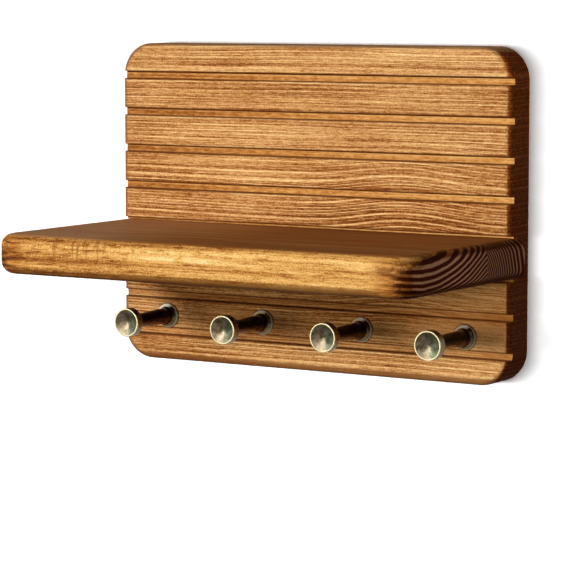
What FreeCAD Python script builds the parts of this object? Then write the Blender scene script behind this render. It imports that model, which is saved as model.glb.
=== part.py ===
"""Wall key holder: a grooved back board, a shelf housed in it and a row of turned knobs."""
import FreeCAD, Part

import math
import os

# Frame: +X to the right, +Y into the wall, +Z up. The origin is the middle of the back
# board's back face, which lies on the wall. All sizes are millimetres.

Vector = FreeCAD.Vector

# Back board
board_width = 235.0
board_height = 170.5
board_thickness = 20.5
board_corner_radius = 17.0
board_front_round = 3.5

# Grooves across the front of the board, from edge to edge, set out from its bottom edge
groove_pitch = 19.7
groove_height = 3.9
groove_depth = 4.4
groove_bottom_margin = 15.6
groove_top_least_margin = 10.0

# Shelf, glued and screwed into a housing that is midway between two grooves
shelf_thickness = 20.5
shelf_projection = 110.2
shelf_end_overhang = 4.5
shelf_corner_radius = 12.5
shelf_edge_round = 6.2
groove_count_below_shelf = 3
housing_depth = 8.0
housing_fit = 0.05
housing_glue = 0.1

# Screws through the board into the back edge of the shelf
shelf_screw_count = 3
shelf_screw_inset = 33.5
shelf_screw_radius = 2.0
shelf_screw_head_radius = 4.0
shelf_screw_length = 42.0
shelf_screw_tip = 4.0

# Turned knobs
knob_count = 4
knob_end_inset = 27.05
knob_row_offset = 2.5
knob_height = 24.3
knob_projection = 40.0
cap_radius = 7.55
cap_thickness = 5.2
cap_back_chamfer = 0.6
rim_width = 0.75
rim_round = 0.35
rim_rise = 0.5
dish_depth = 1.9
neck_cap_radius = 3.4
neck_base_radius = 4.2
neck_cap_fillet = 0.8
flare_length = 5.0
flange_radius = 6.75
flange_edge = 1.3
flange_bevel = 0.5

# Machine screws and washers that hold the knobs from behind
knob_screw_radius = 2.0
knob_thread_length = 8.0
knob_screw_tip = 0.5
knob_head_radius = 3.9
knob_head_height = 2.8
knob_head_round = 1.1
tapped_hole_spare = 1.5
drill_point_angle = 118.0
washer_radius = 4.6
washer_thickness = 0.8
counterbore_depth = 4.4

# Keyhole hanger plates, let into the back
hanger_inset = 31.5
hanger_drop = 30.0
hanger_end_length = 15.0
hanger_width = 16.0
hanger_thickness = 1.5
hanger_entry_radius = 4.5
hanger_slot_width = 4.6
hanger_slot_rise = 10.0
hanger_pocket_depth = 6.5
hanger_pocket_margin = 0.9
hanger_recess_fit = 0.2
hanger_recess_spare = 0.1
hanger_screw_inset = 4.5
hanger_screw_radius = 1.5
hanger_screw_head_radius = 2.9
hanger_screw_length = 11.0
hanger_screw_tip = 2.0

# Shared fits
thread_fit = 0.05
shank_clearance = 0.25
washer_fit = 0.3
head_sink = 0.15
countersink_fit = 0.05
cross_slot_width = 0.9
cross_slot_depth = 1.3
pilot_spare = 1.0

# Cuts run this far past the faces that they open through
cutter_overrun = 5.0
tolerance = 0.01

# Places that follow from the sizes above
front_y = -board_thickness
top_z = board_height / 2
bottom_z = -board_height / 2
groove_room = board_height - groove_bottom_margin - groove_top_least_margin
groove_count = int(groove_room / groove_pitch) + 1
shelf_z = bottom_z + groove_bottom_margin + (groove_count_below_shelf - 0.5) * groove_pitch
shelf_length = board_width + 2 * shelf_end_overhang
housing_floor_y = front_y + housing_depth
shelf_back_y = housing_floor_y - housing_glue
knob_z = bottom_z + knob_height
hanger_z = top_z - hanger_drop
hanger_length = hanger_slot_rise + 2 * hanger_end_length
hanger_recess_y = -(hanger_thickness + hanger_recess_spare)
washer_seat_y = -counterbore_depth
knob_head_seat_y = washer_seat_y + washer_thickness
knob_tapped_depth = knob_thread_length + tapped_hole_spare


def row(count, span, middle=0.0):
    """Evenly spaced positions over a span; a single one goes to the middle."""
    gaps = max(count - 1, 1)
    return [middle + (i - (count - 1) / 2) * span / gaps for i in range(count)]


knob_xs = row(knob_count, board_width - 2 * knob_end_inset, knob_row_offset)
shelf_screw_xs = row(shelf_screw_count, board_width - 2 * shelf_screw_inset)
hanger_xs = row(2, board_width - 2 * hanger_inset)
hanger_screw_zs = row(2, hanger_length - 2 * hanger_screw_inset, hanger_z)

# The middle of a quarter arc stands in from the arc's square corner by this share of its radius
quarter_arc_share = 1 - math.sqrt(0.5)


def block(x, y, z):
    """Box from three (low, high) pairs."""
    return Part.makeBox(x[1] - x[0], y[1] - y[0], z[1] - z[0], Vector(x[0], y[0], z[0]))


def rod(radius, y_from, y_to, x, z):
    """Cylinder along Y."""
    return Part.makeCylinder(radius, y_to - y_from, Vector(x, y_from, z), Vector(0, 1, 0))


def turned(points, arcs=()):
    """Solid turned about the Y axis. Points are (radius, y); arcs maps the index of a
    segment to a point that the segment's arc goes through."""
    through = dict(arcs)
    corners = [Vector(r, y, 0) for r, y in points]
    edges = []
    for i, start in enumerate(corners):
        end = corners[(i + 1) % len(corners)]
        if i in through:
            edges.append(Part.Arc(start, Vector(through[i][0], through[i][1], 0), end).toShape())
        else:
            edges.append(Part.LineSegment(start, end).toShape())
    face = Part.Face(Part.Wire(edges))
    return face.revolve(Vector(0, 0, 0), Vector(0, 1, 0), 360)


def obround(width, length, y_from, y_to, x, z):
    """Upright round-ended plate."""
    half, r = length / 2 - width / 2, width / 2
    right = Part.makeLine(Vector(x + r, y_from, z - half), Vector(x + r, y_from, z + half))
    top = Part.Arc(Vector(x + r, y_from, z + half), Vector(x, y_from, z + half + r),
                   Vector(x - r, y_from, z + half)).toShape()
    left = Part.makeLine(Vector(x - r, y_from, z + half), Vector(x - r, y_from, z - half))
    bottom = Part.Arc(Vector(x - r, y_from, z - half), Vector(x, y_from, z - half - r),
                      Vector(x + r, y_from, z - half)).toShape()
    return Part.Face(Part.Wire([right, top, left, bottom])).extrude(Vector(0, y_to - y_from, 0))


def edges_where(shape, test):
    """Edges whose bounding box meets a test."""
    return [edge for edge in shape.Edges if test(edge.BoundBox)]


def cross_slot(half_length, face_y, x, z):
    """Driver recess in a screw head, open towards +Y."""
    w, y = cross_slot_width / 2, (face_y - cross_slot_depth, face_y + cutter_overrun)
    flat = block((x - half_length, x + half_length), y, (z - w, z + w))
    upright = block((x - w, x + w), y, (z - half_length, z + half_length))
    return flat.fuse(upright)


def countersink(radius, head_radius, face_y, x, z):
    """Conical seat under a flat head whose face is at face_y, and its mouth out to the back."""
    depth = head_radius - radius
    wide = head_radius + countersink_fit
    cone = turned([(0, -depth - cutter_overrun), (radius, -depth - cutter_overrun),
                   (radius, -depth), (wide, countersink_fit),
                   (wide, cutter_overrun), (0, cutter_overrun)])
    cone.translate(Vector(x, face_y, z))
    return cone


def flat_head_screw(radius, head_radius, length, tip, face_y, x, z):
    """Countersunk wood screw that points to the front."""
    depth = head_radius - radius
    body = turned([(0, 0), (head_radius, 0), (radius, -depth), (radius, tip - length),
                   (radius * 0.25, -length), (0, -length)])
    body.translate(Vector(x, face_y, z))
    return body.cut(cross_slot(head_radius * 0.5, face_y, x, z))


def board_blank():
    """Board with rounded corners and a rounded-over front edge."""
    blank = block((-board_width / 2, board_width / 2), (front_y, 0), (bottom_z, top_z))
    corners = edges_where(blank, lambda b: b.YLength > board_thickness / 2)
    blank = blank.makeFillet(board_corner_radius, corners)
    front = edges_where(blank, lambda b: b.YMax < front_y + tolerance)
    return blank.makeFillet(board_front_round, front)


def groove_cuts():
    """Grooves and the shelf's housing, all cut from edge to edge."""
    x = (-board_width / 2 - cutter_overrun, board_width / 2 + cutter_overrun)
    cuts = []
    for i in range(groove_count):
        z = bottom_z + groove_bottom_margin + i * groove_pitch
        depth = (front_y - cutter_overrun, front_y + groove_depth)
        cuts.append(block(x, depth, (z - groove_height / 2, z + groove_height / 2)))
    half = shelf_thickness / 2 + housing_fit
    depth = (front_y - cutter_overrun, housing_floor_y)
    cuts.append(block(x, depth, (shelf_z - half, shelf_z + half)))
    return cuts


def screw_cuts():
    """Screw holes: counterbored behind the knobs, countersunk behind the shelf."""
    cuts = []
    for x in knob_xs:
        cuts.append(rod(knob_screw_radius + shank_clearance, front_y - cutter_overrun,
                        cutter_overrun, x, knob_z))
        cuts.append(rod(washer_radius + washer_fit, washer_seat_y, cutter_overrun, x, knob_z))
    for x in shelf_screw_xs:
        cuts.append(rod(shelf_screw_radius + shank_clearance, front_y, cutter_overrun, x, shelf_z))
        cuts.append(countersink(shelf_screw_radius + shank_clearance,
                                shelf_screw_head_radius + shank_clearance, -head_sink, x, shelf_z))
    return cuts


def hanger_cuts():
    """Recess for each hanger plate, the pocket for the wall screw's head, and pilot holes."""
    cuts = []
    width = 2 * (hanger_entry_radius + hanger_pocket_margin)
    for x in hanger_xs:
        cuts.append(obround(hanger_width + 2 * hanger_recess_fit, hanger_length + 2 * hanger_recess_fit,
                            hanger_recess_y, cutter_overrun, x, hanger_z))
        cuts.append(obround(width, width + hanger_slot_rise, hanger_recess_y - hanger_pocket_depth,
                            cutter_overrun, x, hanger_z))
        for z in hanger_screw_zs:
            cuts.append(rod(hanger_screw_radius + thread_fit, -hanger_screw_length - pilot_spare,
                            cutter_overrun, x, z))
    return cuts


def back_board():
    return board_blank().cut(groove_cuts() + screw_cuts() + hanger_cuts())


def shelf():
    """Shelf board: two rounded corners, and its edges rounded over except at the back."""
    blank = block((-shelf_length / 2, shelf_length / 2), (front_y - shelf_projection, shelf_back_y),
                  (shelf_z - shelf_thickness / 2, shelf_z + shelf_thickness / 2))
    corners = edges_where(blank, lambda b: b.ZLength > shelf_thickness / 2 and b.YMax < front_y)
    blank = blank.makeFillet(shelf_corner_radius, corners)
    long_edges = edges_where(
        blank, lambda b: b.ZLength < tolerance and b.YMin < shelf_back_y - tolerance)
    blank = blank.makeFillet(shelf_edge_round, long_edges)
    pilot_y = -head_sink - shelf_screw_length - pilot_spare
    return blank.cut([rod(shelf_screw_radius + thread_fit, pilot_y, shelf_back_y + cutter_overrun,
                          x, shelf_z) for x in shelf_screw_xs])


def shelf_screw(x):
    return flat_head_screw(shelf_screw_radius, shelf_screw_head_radius, shelf_screw_length,
                           shelf_screw_tip, -head_sink, x, shelf_z)


def knob(x):
    """Knob turned in one piece: flange, waisted neck and a cap whose conical dish has a rim."""
    face = -knob_projection
    back = face + cap_thickness
    flare_y = -flange_edge - flare_length
    bore = knob_screw_radius + thread_fit
    drill_tip = knob_tapped_depth + bore / math.tan(math.radians(drill_point_angle / 2))
    inner = cap_radius - rim_width
    bevel = flange_radius - flange_bevel
    points = [
        (bore, 0),
        (flange_radius, 0),
        (flange_radius, -flange_edge + flange_bevel),
        (bevel, -flange_edge),
        (neck_base_radius, flare_y),
        (neck_cap_radius, back + neck_cap_fillet),
        (neck_cap_radius + neck_cap_fillet, back),
        (cap_radius - cap_back_chamfer, back),
        (cap_radius, back - cap_back_chamfer),
        (cap_radius, face + rim_round),
        (cap_radius - rim_round, face),
        (inner, face),
        (inner, face + rim_rise),
        (0, face + rim_rise + dish_depth),
        (0, -drill_tip),
        (bore, -knob_tapped_depth),
    ]
    flare = (neck_base_radius + quarter_arc_share * (bevel - neck_base_radius),
             -flange_edge - quarter_arc_share * flare_length)
    fillet = quarter_arc_share * neck_cap_fillet
    rim = quarter_arc_share * rim_round
    arcs = {
        3: flare,
        5: (neck_cap_radius + fillet, back + fillet),
        9: (cap_radius - rim, face + rim),
    }
    body = turned(points, arcs)
    body.translate(Vector(x, front_y, knob_z))
    return body


def knob_screw(x):
    """Pan-head machine screw from the back into the knob."""
    length = knob_head_seat_y - front_y + knob_thread_length
    top = knob_head_height
    points = [
        (0, -length),
        (knob_screw_radius - knob_screw_tip, -length),
        (knob_screw_radius, knob_screw_tip - length),
        (knob_screw_radius, 0),
        (knob_head_radius, 0),
        (knob_head_radius, top - knob_head_round),
        (knob_head_radius - knob_head_round, top),
        (0, top),
    ]
    bulge = quarter_arc_share * knob_head_round
    body = turned(points, {5: (knob_head_radius - bulge, top - bulge)})
    body.translate(Vector(x, knob_head_seat_y, knob_z))
    return body.cut(cross_slot(knob_head_radius * 0.55, knob_head_seat_y + top, x, knob_z))


def knob_washer(x):
    ring = rod(washer_radius, washer_seat_y, knob_head_seat_y, x, knob_z)
    return ring.cut(rod(knob_screw_radius + shank_clearance, washer_seat_y - cutter_overrun,
                        cutter_overrun, x, knob_z))


def hanger(x):
    """Keyhole hanger plate: entry hole below, slot above, a countersunk hole at each end."""
    y = (hanger_recess_y, hanger_recess_y + hanger_thickness)
    through = (y[0] - cutter_overrun, y[1] + cutter_overrun)
    plate = obround(hanger_width, hanger_length, y[0], y[1], x, hanger_z)
    entry_z = hanger_z - hanger_slot_rise / 2
    slot_length = hanger_slot_rise + hanger_slot_width
    cuts = [
        rod(hanger_entry_radius, through[0], through[1], x, entry_z),
        obround(hanger_slot_width, slot_length, through[0], through[1], x, hanger_z),
    ]
    for z in hanger_screw_zs:
        cuts.append(countersink(hanger_screw_radius + thread_fit,
                                hanger_screw_head_radius + thread_fit, y[1] - head_sink, x, z))
    return plate.cut(cuts)


def hanger_screw(x, z):
    face_y = hanger_recess_y + hanger_thickness - head_sink
    return flat_head_screw(hanger_screw_radius, hanger_screw_head_radius, hanger_screw_length,
                           hanger_screw_tip, face_y, x, z)


def build():
    """All pieces by name."""
    parts = {"back_board": back_board(), "shelf": shelf()}
    for i, x in enumerate(knob_xs, 1):
        parts[f"knob_{i}"] = knob(x)
        parts[f"knob_screw_{i}"] = knob_screw(x)
        parts[f"knob_washer_{i}"] = knob_washer(x)
    for i, x in enumerate(shelf_screw_xs, 1):
        parts[f"shelf_screw_{i}"] = shelf_screw(x)
    for side, x in zip(("left", "right"), hanger_xs):
        parts[f"hanger_{side}"] = hanger(x)
        for level, z in zip(("lower", "upper"), hanger_screw_zs):
            parts[f"hanger_screw_{side}_{level}"] = hanger_screw(x, z)
    return parts


os.makedirs("parts", exist_ok=True)
for name, shape in build().items():
    shape.exportStep(f"parts/{name}.step")
    print(name, "solids", len(shape.Solids), "valid", shape.isValid(), "volume", round(shape.Volume, 1))
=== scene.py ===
"""Looks of the grooved wall key holder: stained softwood, antique brass knobs, zinc fixings."""

from functools import reduce
import math

import bmesh
import bpy
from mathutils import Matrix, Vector

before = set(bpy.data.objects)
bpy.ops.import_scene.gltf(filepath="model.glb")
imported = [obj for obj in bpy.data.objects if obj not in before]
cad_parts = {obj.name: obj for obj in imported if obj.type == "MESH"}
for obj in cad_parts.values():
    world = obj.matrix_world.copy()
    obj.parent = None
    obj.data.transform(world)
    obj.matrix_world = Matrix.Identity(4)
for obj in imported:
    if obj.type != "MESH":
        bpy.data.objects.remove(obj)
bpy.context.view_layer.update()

# Places in the part's frame, in millimetres: +X right, +Y into the wall, +Z up. Materials work in these
MM_PER_M = 1000
BOARD_FRONT = -20.5
BOARD_BOTTOM = -85.25
GROOVE_PITCH = 19.7
GROOVE_HALF = 1.95
GROOVE_DEPTH = 4.4
FIRST_GROOVE = BOARD_BOTTOM + 15.6
RING_SPACING = 2.7

# Shelf: two staves, each with the (y, z) of the axis that its growth rings run round
SHELF_FRONT = -130.7
SHELF_BOTTOM = -30.65
SHELF_THICKNESS = 20.5
STAVE_SEAM = -52.8
FRONT_PITH = (-116.7, 89.4)
BACK_PITH = (-75.0, -36.0)

# Knobs: their row, then radii and distances behind the face
KNOB_FIRST_X = -87.95
KNOB_PITCH = 60.3
KNOB_Z = -60.95
KNOB_FACE = -60.5
DISH_RADIUS = 6.8
DISH_BACK = 2.4
CAP_THICKNESS = 5.2
NECK_RADIUS = 4.2
FOOT_RADIUS = 6.25
FOOT_SHEEN_START = 36.5

# Stage and lamps, in metres. The wall stands a hair behind the board's back
WALL_Y = 0.0002
WALL_SIDE = 1.6
FLOOR_Z = -0.9
FLOOR_SIDE = 4
AIM = Vector((0, -0.05, 0))
WHITE = (1, 1, 1)
WARM = (1.0, 0.80, 0.58)
DULL_PAINT = 0.16
NO_GLOW = 0.0


def tint(red, green, blue):
    """Colour from its 0 to 255 values on screen."""
    def linear(value):
        value /= 255
        return value / 12.92 if value <= 0.04045 else ((value + 0.055) / 1.055) ** 2.4
    return (linear(red), linear(green), linear(blue), 1.0)


# Stains of the board, each ramp from its darkest wood to its palest
BOARD_FACE = ((0.0, (112, 58, 18)), (0.25, (165, 106, 52)), (0.5, (205, 152, 94)),
              (0.75, (230, 184, 122)), (1.0, (253, 220, 158)))
BOARD_END = ((0.0, (92, 30, 4)), (0.5, (142, 72, 26)), (1.0, (196, 118, 58)))
GROOVE_FLOOR = ((0.1, (132, 72, 20)), (0.45, (198, 134, 64)), (0.85, (236, 186, 112)))
GROOVE_SHADE = tint(78, 34, 6)
LIP_STAIN_AND_SHADE = tint(100, 50, 14)
GREY_EDGE_AND_SHADE = tint(128, 98, 70)
LOWER_EDGE_SHADE = tint(134, 84, 44)
WARM_BOUNCE_LIGHT = tint(226, 140, 58)

# Stains of the shelf
SHELF_FACE = ((0.0, (114, 60, 20)), (0.25, (172, 112, 50)), (0.5, (217, 163, 88)),
              (0.75, (243, 198, 120)), (1.0, (255, 232, 168)))
SHELF_TOP_STAIN_AND_SHEEN = ((0.0, (100, 52, 20)), (0.5, (146, 88, 39)), (1.0, (190, 136, 88)))
CORNER_STAIN = ((0.32, (84, 36, 8)), (0.52, (150, 86, 32)), (0.72, (210, 146, 70)))
END_RINGS = ((0.0, (76, 26, 10)), (0.3, (118, 60, 30)), (0.8, (232, 178, 140)), (1.0, (250, 208, 174)))
TURNED_RINGS = ((0.0, (52, 16, 2)), (0.3, (86, 38, 10)), (0.8, (146, 88, 40)), (1.0, (184, 118, 58)))
UNDERSIDE_SHADE = tint(132, 84, 38)
CHATTER = tint(128, 74, 30)

# Colours of the metal
PATINA = ((0.3, (96, 80, 60)), (0.5, (146, 130, 104)), (0.7, (182, 166, 138)))
DISH_BROWN = ((0.3, (66, 58, 42)), (0.5, (98, 88, 70)), (0.7, (132, 122, 106)))
DISH_GREEN = ((0.3, (62, 62, 46)), (0.5, (90, 94, 74)), (0.7, (118, 124, 102)))
NECK_BROWN = ((0.3, (84, 54, 28)), (0.7, (118, 82, 48)))
WORN_BRASS_AND_HIGHLIGHT = ((0.3, (196, 186, 148)), (0.7, (226, 220, 184)))
FOOT_SHEEN = tint(255, 252, 238)
ZINC = ((0.3, (168, 170, 172)), (0.7, (214, 214, 212)))


class Nodes:
    """A node tree filled step by step. Each step returns an output for the steps that follow."""

    def __init__(self, tree):
        self.tree = tree
        tree.nodes.clear()

    def add(self, kind, inputs=None, **settings):
        """Adds a node, makes its settings, and feeds its inputs by name or number."""
        node = self.tree.nodes.new(kind)
        for name, value in settings.items():
            setattr(node, name, value)
        for name, value in (inputs or {}).items():
            self.feed(node.inputs[name], value)
        return node

    def feed(self, socket, value):
        """Links another node's output to a socket, or sets the socket's own value."""
        if isinstance(value, bpy.types.NodeSocket):
            self.tree.links.new(value, socket)
        else:
            socket.default_value = value

    def reckon(self, operation, *numbers):
        """Result of one operation on one or two numbers."""
        return self.add("ShaderNodeMath", dict(enumerate(numbers)), operation=operation).outputs[0]

    def larger(self, a, b):
        return self.reckon("MAXIMUM", a, b)

    def step(self, a, low, high, at_low=0.0, at_high=1.0):
        """Smooth change from one value to another while a goes from low to high."""
        node = self.add("ShaderNodeMapRange", {0: a, 1: low, 2: high, 3: at_low, 4: at_high},
                        interpolation_type="SMOOTHSTEP")
        return node.outputs[0]

    def mix(self, amount, a, b):
        """Number a where the amount is 0, and b where it is 1."""
        return self.add("ShaderNodeMix", {0: amount, 2: a, 3: b}, data_type="FLOAT").outputs[0]


class Finish(Nodes):
    """A material of the part, with its nodes."""

    def __init__(self, name):
        self.material = bpy.data.materials.new(name)
        self.material.use_nodes = True
        super().__init__(self.material.node_tree)
        self.surface = self.add("ShaderNodeBsdfPrincipled")
        self.add("ShaderNodeOutputMaterial", {"Surface": self.surface.outputs["BSDF"]})
        object_place = self.add("ShaderNodeTexCoord").outputs["Object"]
        self.place = self.stretch(object_place, (MM_PER_M, MM_PER_M, MM_PER_M))
        self.x, self.y, self.z = self.add("ShaderNodeSeparateXYZ", {0: self.place}).outputs
        self.normal = self.add("ShaderNodeNewGeometry").outputs["Normal"]

    def set(self, name, value):
        """Gives a value to the surface."""
        self.feed(self.surface.inputs[name], value)

    def sum(self, *numbers):
        return reduce(lambda a, b: self.reckon("ADD", a, b), numbers)

    def times(self, *numbers):
        return reduce(lambda a, b: self.reckon("MULTIPLY", a, b), numbers)

    def less(self, a, b):
        return self.reckon("SUBTRACT", a, b)

    def size(self, a):
        """The number without its sign."""
        return self.reckon("ABSOLUTE", a)

    def part_of_one(self, a):
        """What a number has above a whole number."""
        return self.reckon("FRACT", a)

    def apart(self, a, b):
        """Length of the vector (a, b)."""
        return self.reckon("SQRT", self.sum(self.times(a, a), self.times(b, b)))

    def hump(self, a, centre, width):
        """One at the centre, fading to nothing on both sides."""
        off = self.times(self.less(a, centre), 1 / width)
        return self.reckon("EXPONENT", self.times(off, off, -1))

    def from_nearest(self, along, first, pitch):
        """Distance from the nearest of a row of places that are a pitch apart."""
        turn = self.part_of_one(self.sum(self.times(self.less(along, first), 1 / pitch), 0.5))
        return self.times(self.less(turn, 0.5), pitch)

    def stretch(self, at, scale, shift=(0, 0, 0)):
        return self.add("ShaderNodeMapping", {"Vector": at, "Location": shift, "Scale": scale}).outputs[0]

    def cloud(self, scale, shift=(0, 0, 0), detail=2.0, roughness=0.5):
        """Soft noise about 0.5, with its own number of lumps a millimetre along x, y and z."""
        at = self.stretch(self.place, scale, shift)
        return self.add("ShaderNodeTexNoise", {"Vector": at, "Scale": 1.0, "Detail": detail,
                                               "Roughness": roughness}).outputs[0]

    def line_cloud(self, along, detail=1.0):
        """Noise about 0.5 along one number."""
        return self.add("ShaderNodeTexNoise", {"W": along, "Scale": 1.0, "Detail": detail},
                        noise_dimensions="1D").outputs[0]

    def swing(self, noise, amount):
        """Noise about 0.5 as a swing about nothing."""
        return self.times(self.less(noise, 0.5), amount)

    def bar(self, amount, stops):
        """Colour of a bar with these stops, at the place that the amount says."""
        node = self.add("ShaderNodeValToRGB", {0: amount})
        spots = node.color_ramp.elements
        while len(spots) < len(stops):
            spots.new(0.5)
        for spot, (where, colour) in zip(spots, stops):
            spot.position = where
            spot.color = colour
        return node.outputs[0]

    def ramp(self, amount, stops):
        """Colour that follows the stops, each a place from 0 to 1 and a colour of 0 to 255 values."""
        return self.bar(amount, [(where, tint(*colour)) for where, colour in stops])

    def curve(self, amount, stops):
        """Number that follows the stops, each a place from 0 to 1 and a value."""
        return self.bar(amount, [(where, (value, value, value, 1)) for where, value in stops])

    def blend(self, amount, a, b):
        """Colour a where the amount is 0, and b where it is 1."""
        return self.add("ShaderNodeMix", {0: amount, 6: a, 7: b}, data_type="RGBA").outputs[2]

    def shade(self, colour, amount):
        """Colour times a number."""
        return self.add("ShaderNodeVectorMath", {0: colour, "Scale": amount}, operation="SCALE").outputs[0]

    def facing(self, axis):
        """How far the surface faces along axis 0, 1 or 2, from -1 to 1."""
        return self.add("ShaderNodeSeparateXYZ", {0: self.normal}).outputs[axis]

    def relief(self, height, distance, strength):
        """Fine bumps, with their height in metres."""
        bump = self.add("ShaderNodeBump", {"Height": height, "Distance": distance, "Strength": strength})
        self.set("Normal", bump.outputs[0])


def fibres(finish):
    """Fine streaks along the grain, short flecks and fine grit, all about 0.5."""
    streaks = finish.cloud((0.012, 1.4, 1.4), detail=3.0, roughness=0.75)
    flecks = finish.cloud((0.22, 2.6, 2.6), (7, 3, 1), 2.0, 0.75)
    grit = finish.cloud((1.5, 1.3, 1.3), (2, 8, 5), 2.0, 0.7)
    return streaks, flecks, grit


def board_rings(finish):
    """Growth lines, straight and fine above, swelling and bolder towards the shelf at the right.

    Returns the lines, how strongly they show, and where the wood is bold.
    """
    x, z = finish.x, finish.z
    wander = finish.swing(finish.cloud((0.006, 0.015, 0.015), detail=1.0), 5.0)
    ripple = finish.swing(finish.cloud((0.03, 0.1, 0.2), (3, 9, 5)), 0.6)
    swell = finish.times(finish.hump(x, 56.0, 36.0), finish.step(z, 22.0, 44.0, 1.0, 0.0),
                         finish.step(z, -66.0, -44.0), 5.0)
    level = finish.less(finish.sum(z, wander, ripple), swell)
    uneven = finish.swing(finish.line_cloud(finish.times(level, 0.11)), 3.0)
    turn = finish.part_of_one(finish.sum(finish.times(level, 1 / RING_SPACING), uneven))

    # Brushed wood: a bright hard line, a quick fall to soft dark wood, a fainter line
    ring = finish.curve(turn, (
        (0.0, 0.5), (0.1, 0.1), (0.3, 0.3), (0.42, 0.55), (0.55, 0.25), (0.7, 0.4), (0.82, 1.0),
        (0.92, 0.9), (1.0, 0.5)))
    bold = finish.times(finish.hump(z, -4.0, 19.0), finish.step(x, -50.0, 40.0, 0.3, 1.0))
    clearer = finish.step(finish.cloud((0.012, 0.05, 0.05), (2, 5, 8)), 0.35, 0.62, 0.3, 0.8)
    strength = finish.sum(clearer, finish.times(bold, 0.45))
    return ring, strength, bold


def board_tone(finish, rings, fibre):
    """How pale the board's face is, from 0 to 1."""
    x, z = finish.x, finish.z
    ring, strength, bold = rings
    streaks, flecks, grit = fibre
    patches = finish.cloud((0.014, 0.03, 0.03), (11, 4, 2), 3.0)
    tone = finish.sum(0.46, finish.times(finish.less(ring, 0.48), strength, 0.78), finish.swing(streaks, 1.5),
                      finish.swing(flecks, 1.2), finish.swing(grit, 0.85), finish.swing(patches, 0.5))
    second_slat = finish.times(finish.hump(z, 39.0, 10.0), 0.06)
    top_slat = finish.times(finish.hump(z, 79.0, 3.0), 0.12)
    # Paler beside the last knob and low at the right: painted light under the shelf's right end
    beside_last_knob = finish.times(finish.hump(z, -60.0, 9.0), finish.step(x, 88.0, 104.0), 0.2)
    right_by_shelf = finish.times(finish.step(x, 52.0, 80.0), finish.step(z, -38.0, -30.0, 1.0, 0.0), 0.25)
    paler = finish.sum(second_slat, top_slat, beside_last_knob, right_by_shelf)
    left_end = finish.step(x, -60.0, -110.0, 0.0, 0.02)
    # Darker at the ends of the bottom slat: painted shade
    foot_ends = finish.sum(finish.step(x, -70.0, -30.0, 0.14, 0.01), finish.step(x, 55.0, 85.0, 0.0, 0.08))
    foot = finish.times(foot_ends, finish.step(z, -74.0, -70.0, 1.0, 0.0))
    darker = finish.sum(left_end, finish.times(bold, 0.12), foot)
    return finish.less(finish.sum(tone, paler), darker)


def board_grooves(finish, face, streaks):
    """Face with its grooves: clean floors, painted shade under the upper lip, and stain with painted shade
    along both lips.

    Floors below the shelf are much like the face. Returns the colour, and where it is a groove's floor.
    """
    x, y, z = finish.x, finish.y, finish.z
    above = finish.from_nearest(z, FIRST_GROOVE, GROOVE_PITCH)
    groove_back = BOARD_FRONT + GROOVE_DEPTH
    deep = finish.times(finish.step(y, BOARD_FRONT + 0.5, BOARD_FRONT + 1.6),
                        finish.step(y, groove_back + 0.1, groove_back + 0.2, 1.0, 0.0))
    between_lips = finish.step(finish.size(above), GROOVE_HALF + 0.1, GROOVE_HALF + 0.3, 1.0, 0.0)
    inside = finish.times(between_lips, deep)

    ragged = finish.cloud((0.2, 1.0, 0.8), (1, 6, 9), 3.0, 0.7)
    floor_tone = finish.sum(0.5, finish.swing(ragged, 1.4), finish.swing(streaks, 0.9),
                            finish.step(above, 0.2, 1.4, 0.0, 0.2), finish.step(x, 0.0, 90.0, 0.0, 0.12))
    floor_tone = finish.less(floor_tone, finish.step(x, 0.0, -110.0, 0.0, 0.24))
    like_face = finish.times(finish.step(z, -34.0, -24.0, 0.75, 0.15),
                             finish.step(x, 92.0, 108.0, 1.0, 0.3))
    floor = finish.blend(like_face, finish.ramp(floor_tone, GROOVE_FLOOR), face)

    # Painted shadow of the upper lip on the floor, and stain with painted shade in the floor's lower corner
    shaded = finish.step(finish.sum(above, finish.swing(ragged, 0.4)), GROOVE_HALF - 0.95, GROOVE_HALF - 0.65)
    corner = finish.step(finish.less(finish.swing(ragged, 0.5), above), GROOVE_HALF - 0.35, GROOVE_HALF)
    floor = finish.blend(finish.larger(shaded, finish.times(corner, 0.7)), floor, GROOVE_SHADE)
    colour = finish.blend(inside, face, floor)

    # Stain and painted shade along both lips
    jitter = finish.sum(above, finish.swing(ragged, 0.5))
    lips = finish.larger(finish.hump(jitter, -GROOVE_HALF - 0.15, 0.45),
                         finish.hump(jitter, GROOVE_HALF + 0.05, 0.45))
    colour = finish.blend(finish.times(lips, finish.less(0.95, inside)), colour, LIP_STAIN_AND_SHADE)
    return colour, inside


def board_edges(finish, colour):
    """Round edge greyer at the left end, with painted shade along the top, and painted shade in brown along
    the bottom.
    """
    side, front, up = finish.facing(0), finish.facing(1), finish.facing(2)
    # Painted shade on the top's round edge, and a greyer round edge at the left end
    along_top = finish.times(finish.step(up, 0.5, 0.8), finish.step(front, -0.2, -0.02, 1.0, 0.0))
    grey_edge_and_shade = finish.larger(along_top, finish.step(side, -0.2, -0.06, 1.0, 0.0))
    colour = finish.blend(finish.times(grey_edge_and_shade, 0.7), colour, GREY_EDGE_AND_SHADE)
    # Painted shade on the round edge that faces down, and along the bottom
    facing_down = finish.times(finish.step(up, -0.75, -0.2, 1.0, 0.0),
                               finish.step(finish.y, BOARD_FRONT + 0.4, BOARD_FRONT, 1.0, 0.0))
    along_bottom = finish.step(finish.z, BOARD_BOTTOM + 2.9, BOARD_BOTTOM + 4.4, 1.0, 0.0)
    lower = finish.larger(facing_down, along_bottom)
    return finish.blend(finish.times(lower, 0.75), colour, LOWER_EDGE_SHADE)


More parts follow.
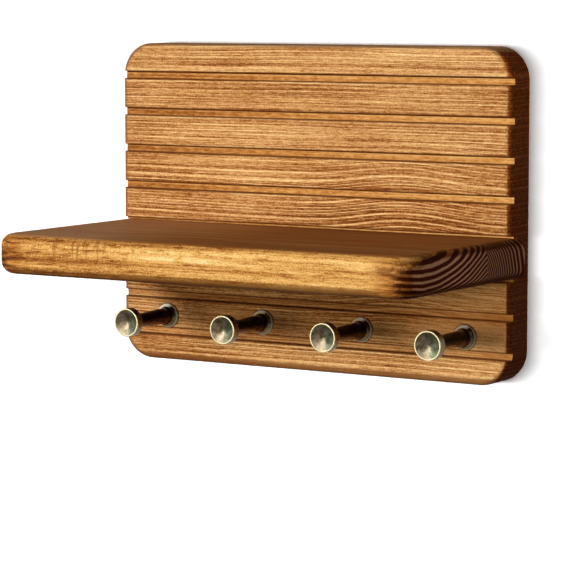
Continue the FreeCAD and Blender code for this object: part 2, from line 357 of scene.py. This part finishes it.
def board_wood():
    finish = Finish("stained_board")
    rings = board_rings(finish)
    ring, _, _ = rings
    fibre = fibres(finish)
    streaks, flecks, _ = fibre
    tone = board_tone(finish, rings, fibre)
    colour, inside = board_grooves(finish, finish.ramp(tone, BOARD_FACE), streaks)
    colour = board_edges(finish, colour)

    # End grain at the two sides drinks the stain; painted shade darkens it towards the bottom
    end = finish.step(finish.sum(finish.size(finish.facing(0)), finish.swing(streaks, 0.3)), 0.36, 0.6)
    end_tone = finish.sum(0.42, finish.swing(ring, 0.4), finish.swing(streaks, 2.3),
                          finish.swing(flecks, 2.5))
    end_colour = finish.ramp(end_tone, BOARD_END)
    end_colour = finish.shade(end_colour, finish.step(finish.z, -70.0, 70.0, 0.62, 1.15))
    colour = finish.blend(finish.times(end, finish.less(1.0, inside)), colour, end_colour)

    # Warmer round the right knobs: painted warm bounce light in the shelf's shade
    warm_bounce = finish.times(finish.step(finish.x, 30.0, 90.0), finish.hump(finish.z, -56.0, 16.0),
                        finish.less(1.0, end), 0.35)
    finish.set("Base Color", finish.blend(warm_bounce, colour, WARM_BOUNCE_LIGHT))
    finish.set("Roughness", finish.sum(finish.step(tone, 0.2, 0.9, 0.66, 0.48), finish.times(end, 0.25)))
    finish.set("Specular IOR Level", 0.04)
    brushed = finish.sum(finish.times(ring, 0.6), finish.times(streaks, 0.7), finish.times(flecks, 0.5))
    finish.relief(brushed, 0.00022, 0.8)
    return finish.material


def shelf_rings(finish):
    """Growth rings of two staves glued side by side, about one axis above and one below them.

    Returns the pale bands of hard wood, and the count of rings.
    """
    x, y, z = finish.x, finish.y, finish.z
    away_from_end = finish.step(x, 60.0, 118.0, 1.0, 0.12)
    wander = finish.times(finish.swing(finish.cloud((0.008, 0.012, 0.02), detail=1.0), 9.0), away_from_end)
    ripple = finish.swing(finish.cloud((0.03, 0.13, 0.13), (3, 9, 5)), 0.9)
    bend = finish.sum(wander, ripple)

    def radius(pith):
        return finish.sum(finish.apart(finish.less(y, pith[0]), finish.less(z, pith[1])), bend)

    def count(from_pith, start, rate, change):
        """Rings counted from a start, with their rate and how it changes outwards."""
        off = finish.less(from_pith, start)
        return finish.sum(finish.times(off, rate), finish.times(off, off, change))

    front, back = radius(FRONT_PITH), radius(BACK_PITH)
    in_back = finish.step(y, STAVE_SEAM - 0.1, STAVE_SEAM + 0.1)
    rings = finish.mix(in_back, count(front, 103.0, 0.227, 0.00494), count(back, 36.0, 0.5, -0.0058))
    hard_share = finish.mix(in_back, finish.step(front, 103.0, 112.0, 0.5, 0.42), 0.36)
    off = finish.times(finish.size(finish.less(finish.part_of_one(rings), 0.5)), 2.0)
    return finish.step(finish.less(hard_share, off), -0.14, 0.14), rings


def shelf_tone(finish, flow, shine, fibre):
    """How pale the shelf's front edge is, from 0 to 1: soft bands, dark specks, palest at the right."""
    x = finish.x
    streaks, flecks, grit = fibre
    share_up = finish.times(finish.less(finish.z, SHELF_BOTTOM), 1 / SHELF_THICKNESS)
    bands = finish.curve(finish.sum(share_up, finish.swing(flow, 0.25)), (
        (0.0, 0.05), (0.1, 0.3), (0.22, 0.64), (0.32, 0.52), (0.42, 0.34), (0.55, 0.5), (0.68, 0.68),
        (0.8, 0.58), (0.9, 0.4), (1.0, 0.3)))
    tone = finish.sum(0.5, finish.swing(bands, 0.9), finish.swing(flow, 1.0), finish.swing(shine, 0.85),
                      finish.swing(streaks, 0.5), finish.swing(flecks, 0.8), finish.swing(grit, 1.0))
    right = finish.sum(finish.times(finish.hump(x, 74.0, 40.0), 0.06), finish.step(x, -80.0, 0.0, -0.1, 0.06))
    # Lower band of the front edge: paler at the left, painted shade at the right
    low_edge = finish.times(finish.hump(share_up, 0.16, 0.13), finish.step(x, -70.0, 40.0, 0.12, -0.3))
    mottle = finish.cloud((0.09, 0.3, 0.42), (21, 4, 11), 4.0, 0.7)
    mottle = finish.times(finish.step(mottle, 0.5, 0.64), finish.step(x, -70.0, 60.0, 0.3, 0.2))
    specks = finish.cloud((0.45, 1.3, 1.3), (17, 5, 3), 2.0, 0.6)
    specks = finish.step(specks, 0.58, 0.72, 0.0, 0.3)
    return finish.less(finish.sum(tone, right, low_edge), finish.sum(mottle, specks))


def shelf_long_grain(finish, tone, band, flow, shine, fibre):
    """Front edge, underside and top of the shelf, with painted shade underneath, a painted sheen at the left
    of the top, and the stain that creeps round the corners.
    """
    x, y, z, up = finish.x, finish.y, finish.z, finish.facing(2)
    streaks, flecks, _ = fibre
    face = finish.ramp(tone, SHELF_FACE)
    # Painted shade on the faces that turn down
    below = finish.times(finish.step(up, -0.6, -0.15, 0.8, 0.0), finish.step(x, -90.0, -20.0, 0.3, 1.0))
    face = finish.blend(below, face, UNDERSIDE_SHADE)

    # Chatter marks left of the middle of the front edge
    marks = finish.step(finish.cloud((0.42, 0.03, 0.05), (5, 2, 7), 2.0, 0.6), 0.54, 0.62)
    zone = finish.times(finish.hump(x, -64.0, 26.0), finish.step(z, -27.0, -21.0),
                        finish.step(y, SHELF_FRONT + 2.0, SHELF_FRONT + 5.0, 1.0, 0.0))
    face = finish.blend(finish.times(marks, zone, 0.6), face, CHATTER)

    # The top is stained a little darker than the edge, and a painted sheen makes it paler at the left
    top_tone = finish.sum(0.45, finish.swing(band, 0.12), finish.swing(streaks, 0.8), finish.swing(flow, 0.5),
                          finish.step(x, -100.0, 20.0, 0.5, 0.0))
    on_top = finish.step(finish.sum(up, finish.swing(streaks, 0.2)), 0.82, 0.95)
    colour = finish.blend(on_top, face, finish.ramp(top_tone, SHELF_TOP_STAIN_AND_SHEEN))

    # Orange-brown streaks towards both ends
    ragged_x = finish.sum(finish.size(x), finish.swing(shine, 20.0), finish.swing(flecks, 26.0))
    creep = finish.times(finish.step(ragged_x, 101.0, 108.0), finish.step(up, 0.4, 0.8, 0.85, 0.0))
    stain = finish.sum(flow, finish.swing(shine, 0.8), finish.swing(flecks, 1.0), finish.swing(streaks, 1.0))
    return finish.blend(creep, colour, finish.ramp(stain, CORNER_STAIN))


def shelf_ends(finish, band, rings, fibre):
    """End grain, pale hard rings on nearly black soft wood. Returns its colour, and where it shows.

    It starts ragged at the corner's turn, and later at the top of the edge than below.
    """
    x, y, z, side = finish.x, finish.y, finish.z, finish.facing(0)
    streaks, flecks, _ = fibre
    turned_away = finish.size(side)
    late = finish.times(finish.step(z, -20.5, -14.5), finish.step(y, -120.0, -112.0, 0.5, 0.0))
    start = finish.sum(turned_away, finish.swing(streaks, 0.6), finish.swing(flecks, 1.0))
    start = finish.less(start, finish.sum(finish.times(band, 0.25), late))
    shows = finish.times(finish.step(start, 0.08, 0.5), finish.step(x, -60.0, -40.0, 0.85, 1.0))

    faint_rings = finish.size(finish.less(finish.part_of_one(finish.times(rings, 4.0)), 0.5))
    tone = finish.sum(0.09, finish.times(band, 0.72), finish.swing(flecks, 0.8),
                      finish.swing(faint_rings, 0.3))
    colour = finish.blend(finish.step(turned_away, 0.78, 0.97), finish.ramp(tone, TURNED_RINGS),
                          finish.ramp(tone, END_RINGS))
    paler_middle = finish.sum(1.0, finish.times(finish.hump(y, -82.0, 24.0), 0.3))
    return finish.shade(colour, paler_middle), shows


def shelf_wood():
    finish = Finish("stained_shelf")
    band, rings = shelf_rings(finish)
    fibre = fibres(finish)
    streaks, flecks, _ = fibre
    flow = finish.cloud((0.008, 0.2, 0.3), (4, 8, 15), 2.0, 0.55)
    shine = finish.cloud((0.02, 0.5, 0.8), (9, 1, 5), 2.0, 0.6)
    tone = shelf_tone(finish, flow, shine, fibre)
    long_grain = shelf_long_grain(finish, tone, band, flow, shine, fibre)
    end_grain, end = shelf_ends(finish, band, rings, fibre)
    finish.set("Base Color", finish.blend(end, long_grain, end_grain))
    finish.set("Roughness", finish.sum(finish.step(tone, 0.2, 0.9, 0.64, 0.5), finish.times(end, 0.25)))
    finish.set("Specular IOR Level", 0.05)
    brushed = finish.sum(finish.times(band, 0.4), finish.times(streaks, 0.6), finish.times(flecks, 0.4))
    finish.relief(brushed, 0.00016, 0.8)
    return finish.material


def knob_brass():
    """Brown patina, a brown neck with a painted dark reflection on its top, a brown and green dish, brass
    worn bright on the rim, and a painted highlight on the foot.
    """
    finish = Finish("antique_brass_knob")
    across = finish.from_nearest(finish.x, KNOB_FIRST_X, KNOB_PITCH)
    up = finish.less(finish.z, KNOB_Z)
    radius = finish.apart(across, up)
    back = finish.less(finish.y, KNOB_FACE)

    in_dish = finish.times(finish.step(radius, DISH_RADIUS - 0.1, DISH_RADIUS + 0.1, 1.0, 0.0),
                           finish.step(back, DISH_BACK + 0.2, DISH_BACK + 0.5, 1.0, 0.0))
    rim = finish.times(finish.step(radius, DISH_RADIUS - 0.15, DISH_RADIUS + 0.05),
                       finish.step(back, 0.35, 0.7, 1.0, 0.0))
    neck = finish.times(finish.step(radius, NECK_RADIUS + 0.2, NECK_RADIUS + 0.8, 1.0, 0.0),
                        finish.step(back, CAP_THICKNESS - 0.3, CAP_THICKNESS + 0.1))
    on_foot = finish.step(back, FOOT_SHEEN_START, FOOT_SHEEN_START + 1.1)
    upper_left = finish.step(finish.less(up, across), 1.0, 5.0)
    # Painted highlight on the foot: a pale crescent at the upper left and a thin ring round its edge
    crescent = finish.times(finish.step(radius, NECK_RADIUS + 0.5, NECK_RADIUS + 0.9),
                            finish.step(radius, FOOT_RADIUS - 0.05, FOOT_RADIUS + 0.15, 1.0, 0.0),
                            upper_left, on_foot)
    foot_ring = finish.times(finish.hump(radius, FOOT_RADIUS - 0.05, 0.2), on_foot)
    worn_and_highlit = finish.larger(rim, finish.larger(crescent, foot_ring))

    mottle = finish.cloud((0.35, 0.35, 0.35), detail=4.0, roughness=0.65)
    fine = finish.cloud((1.6, 1.6, 1.6), (4, 4, 4), 3.0, 0.7)
    turning = finish.line_cloud(finish.times(radius, 3.2), 2.0)
    tone = finish.sum(finish.times(mottle, 0.6), finish.times(fine, 0.4))
    dish_tone = finish.sum(tone, finish.swing(turning, 0.3), finish.swing(mottle, 0.6))
    dish = finish.blend(finish.step(across, -1.0, 3.0), finish.ramp(dish_tone, DISH_BROWN),
                        finish.ramp(dish_tone, DISH_GREEN))
    # Painted dark reflection on the top of the neck
    darker_above = finish.step(finish.facing(2), -0.8, 0.2, 0.9, 0.08)
    dark = finish.shade(finish.ramp(mottle, NECK_BROWN), darker_above)

    colour = finish.blend(in_dish, finish.ramp(tone, PATINA), dish)
    colour = finish.blend(neck, colour, dark)
    colour = finish.blend(worn_and_highlit, colour, finish.ramp(tone, WORN_BRASS_AND_HIGHLIGHT))
    finish.set("Base Color", finish.blend(crescent, colour, FOOT_SHEEN))
    # The painted highlight is pale and less metallic, so it shows bright in the shade
    painted_highlight = finish.larger(finish.times(crescent, 0.95), finish.times(foot_ring, 0.7))
    finish.set("Metallic", finish.less(1.0, painted_highlight))
    finish.set("Roughness", finish.sum(finish.step(tone, 0.3, 0.7, 0.2, 0.34), finish.times(in_dish, 0.15),
                                       finish.times(worn_and_highlit, 0.2)))
    turned = finish.sum(finish.times(turning, 0.5), finish.times(fine, 0.4))
    finish.relief(finish.times(turned, in_dish), 0.00005, 0.6)
    return finish.material


def zinc():
    finish = Finish("bright_zinc")
    spangle = finish.cloud((0.5, 0.5, 0.5), detail=3.0, roughness=0.6)
    scratches = finish.cloud((0.4, 3.0, 6.0), (2, 2, 2), 3.0, 0.6)
    tone = finish.sum(finish.times(spangle, 0.6), finish.times(scratches, 0.4))
    finish.set("Base Color", finish.ramp(tone, ZINC))
    finish.set("Metallic", 1.0)
    finish.set("Roughness", finish.step(tone, 0.3, 0.7, 0.28, 0.46))
    finish.relief(scratches, 0.00003, 0.5)
    return finish.material


def dress_pieces():
    """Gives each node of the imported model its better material."""
    woods = {"back_board": board_wood(), "shelf": shelf_wood()}
    brass, bright_zinc = knob_brass(), zinc()
    for name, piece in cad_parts.items():
        is_knob = name.startswith("knob_") and name.removeprefix("knob_").isdigit()
        material = woods.get(name, brass if is_knob else bright_zinc)
        piece.data.materials.clear()
        piece.data.materials.append(material)


def plain_stage(name, corners, to_camera, to_mirror):
    """Flat pale sheet, seen from its front only.

    It has one paint and glow for the camera, another for mirrors, and a dull paint for all else.
    """
    mesh = bpy.data.meshes.new(name)
    form = bmesh.new()
    form.faces.new([form.verts.new(corner) for corner in corners])
    form.to_mesh(mesh)
    form.free()
    sheet = bpy.data.objects.new(name, mesh)
    bpy.context.scene.collection.objects.link(sheet)
    material = bpy.data.materials.new(name)
    material.use_nodes = True
    nodes = Nodes(material.node_tree)
    ray = nodes.add("ShaderNodeLightPath").outputs

    def by_ray(otherwise, mirror, camera):
        return nodes.mix(ray["Is Camera Ray"], nodes.mix(ray["Is Glossy Ray"], otherwise, mirror), camera)

    paint = by_ray(DULL_PAINT, to_mirror[0], to_camera[0])
    glow = by_ray(NO_GLOW, to_mirror[1], to_camera[1])
    matt = nodes.add("ShaderNodeBsdfDiffuse", {"Color": paint})
    lit = nodes.add("ShaderNodeEmission", {"Strength": glow})
    front = nodes.add("ShaderNodeAddShader", {0: matt.outputs[0], 1: lit.outputs[0]})
    behind = nodes.add("ShaderNodeNewGeometry").outputs["Backfacing"]
    clear = nodes.add("ShaderNodeBsdfTransparent")
    either = nodes.add("ShaderNodeMixShader", {0: behind, 1: front.outputs[0], 2: clear.outputs[0]})
    nodes.add("ShaderNodeOutputMaterial", {"Surface": either.outputs[0]})
    mesh.materials.append(material)
    sheet.visible_diffuse = False
    sheet.visible_shadow = False
    return sheet


def studio_world():
    """White to the camera, and a low light on everything, a little brighter from the right.

    The metal mirrors a bright back and a bright card at the left.
    """
    world = bpy.data.worlds.new("studio")
    bpy.context.scene.world = world
    world.use_nodes = True
    nodes = Nodes(world.node_tree)
    ray = nodes.add("ShaderNodeLightPath").outputs
    way = nodes.add("ShaderNodeTexCoord").outputs["Generated"]
    x, y, _ = nodes.add("ShaderNodeSeparateXYZ", {0: way}).outputs
    low, brighter, white = 0.06, 0.1, 1.0
    even = nodes.step(x, 0.1, 0.9, low, brighter)
    mirror = nodes.larger(nodes.step(y, -0.15, 0.35, low, 1.0), nodes.step(x, -0.65, -0.35, 1.2, low))
    light = nodes.mix(ray["Is Glossy Ray"], even, mirror)
    seen = nodes.larger(ray["Is Camera Ray"], ray["Is Transmission Ray"])
    glow = nodes.add("ShaderNodeBackground", {"Strength": nodes.mix(seen, light, white)})
    nodes.add("ShaderNodeOutputWorld", {"Surface": glow.outputs[0]})


def light_group(name, included, excluded):
    """Collection that tells a lamp which things it works on, and which it leaves out."""
    group = bpy.data.collections.new(name)
    for state, things in (("INCLUDE", included), ("EXCLUDE", excluded)):
        for thing in things:
            group.objects.link(thing)
            group.collection_objects[-1].light_linking.link_state = state
    return group


def soft_lamp(name, azimuth, elevation, away, width, height, power, colour=WHITE, only=(), never=(),
              passes=()):
    """Large soft lamp aimed at the middle of the piece.

    It can light some things only, leave some out, or pass through some, which throw no shadow from it.
    """
    data = bpy.data.lights.new(name, "AREA")
    data.shape = "RECTANGLE"
    data.size, data.size_y = width, height
    data.energy = power
    data.color = colour
    lamp = bpy.data.objects.new(name, data)
    bpy.context.scene.collection.objects.link(lamp)
    a, e = math.radians(azimuth), math.radians(elevation)
    way = Vector((math.sin(a) * math.cos(e), -math.cos(a) * math.cos(e), math.sin(e)))
    lamp.location = AIM + way * away
    lamp.rotation_mode = "QUATERNION"
    lamp.rotation_quaternion = way.to_track_quat("Z", "Y")
    lamp.light_linking.receiver_collection = light_group(name + "_lights", only, never)
    if passes:
        lamp.light_linking.blocker_collection = light_group(name + "_passes", (), passes)
    return lamp


dress_pieces()

wall = plain_stage("wall", [(-WALL_SIDE, WALL_Y, FLOOR_Z), (WALL_SIDE, WALL_Y, FLOOR_Z),
                            (WALL_SIDE, WALL_Y, WALL_SIDE), (-WALL_SIDE, WALL_Y, WALL_SIDE)],
                   to_camera=(1.35, 0.08), to_mirror=(0.2, 0.35))
plain_stage("floor", [(-FLOOR_SIDE, -FLOOR_SIDE, FLOOR_Z), (FLOOR_SIDE, -FLOOR_SIDE, FLOOR_Z),
                      (FLOOR_SIDE, FLOOR_SIDE, FLOOR_Z), (-FLOOR_SIDE, FLOOR_SIDE, FLOOR_Z)],
            to_camera=(0.6, 0.5), to_mirror=(0.3, 0.1))
studio_world()

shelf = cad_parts["shelf"]
board_and_knobs = [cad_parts[name] for name in ("back_board", "knob_1", "knob_2", "knob_3", "knob_4")]
soft_lamp("main", azimuth=-26, elevation=17.3, away=2.5, width=0.84, height=0.26, power=49,
          never=[wall], passes=board_and_knobs)
right = soft_lamp("right", azimuth=35, elevation=10, away=2.5, width=1.2, height=0.6, power=11.5,
                  colour=WARM, never=[wall])
right.visible_glossy = False
soft_lamp("low", azimuth=-22, elevation=0, away=3.0, width=1.4, height=0.7, power=19, colour=WARM,
          never=[wall])
soft_lamp("rear", azimuth=180, elevation=0, away=3.0, width=0.3, height=0.3, power=45,
          never=[wall, shelf])
soft_lamp("wall_wash", azimuth=-12, elevation=0, away=3.0, width=2.4, height=0.4, power=80,
          only=[wall], passes=[shelf])

CAMERA_PLACE = (0.72272, -1.21221, 0.10966)
CAMERA_TURN = (math.pi / 2 - 0.1073, 0, 0.5532)
camera_data = bpy.data.cameras.new("camera")
camera_data.lens = 168.66
camera_data.sensor_width = 36
camera = bpy.data.objects.new("camera", camera_data)
camera.location = CAMERA_PLACE
camera.rotation_euler = CAMERA_TURN
bpy.context.scene.collection.objects.link(camera)
bpy.context.scene.camera = camera
bpy.context.scene.view_settings.view_transform = "Standard"
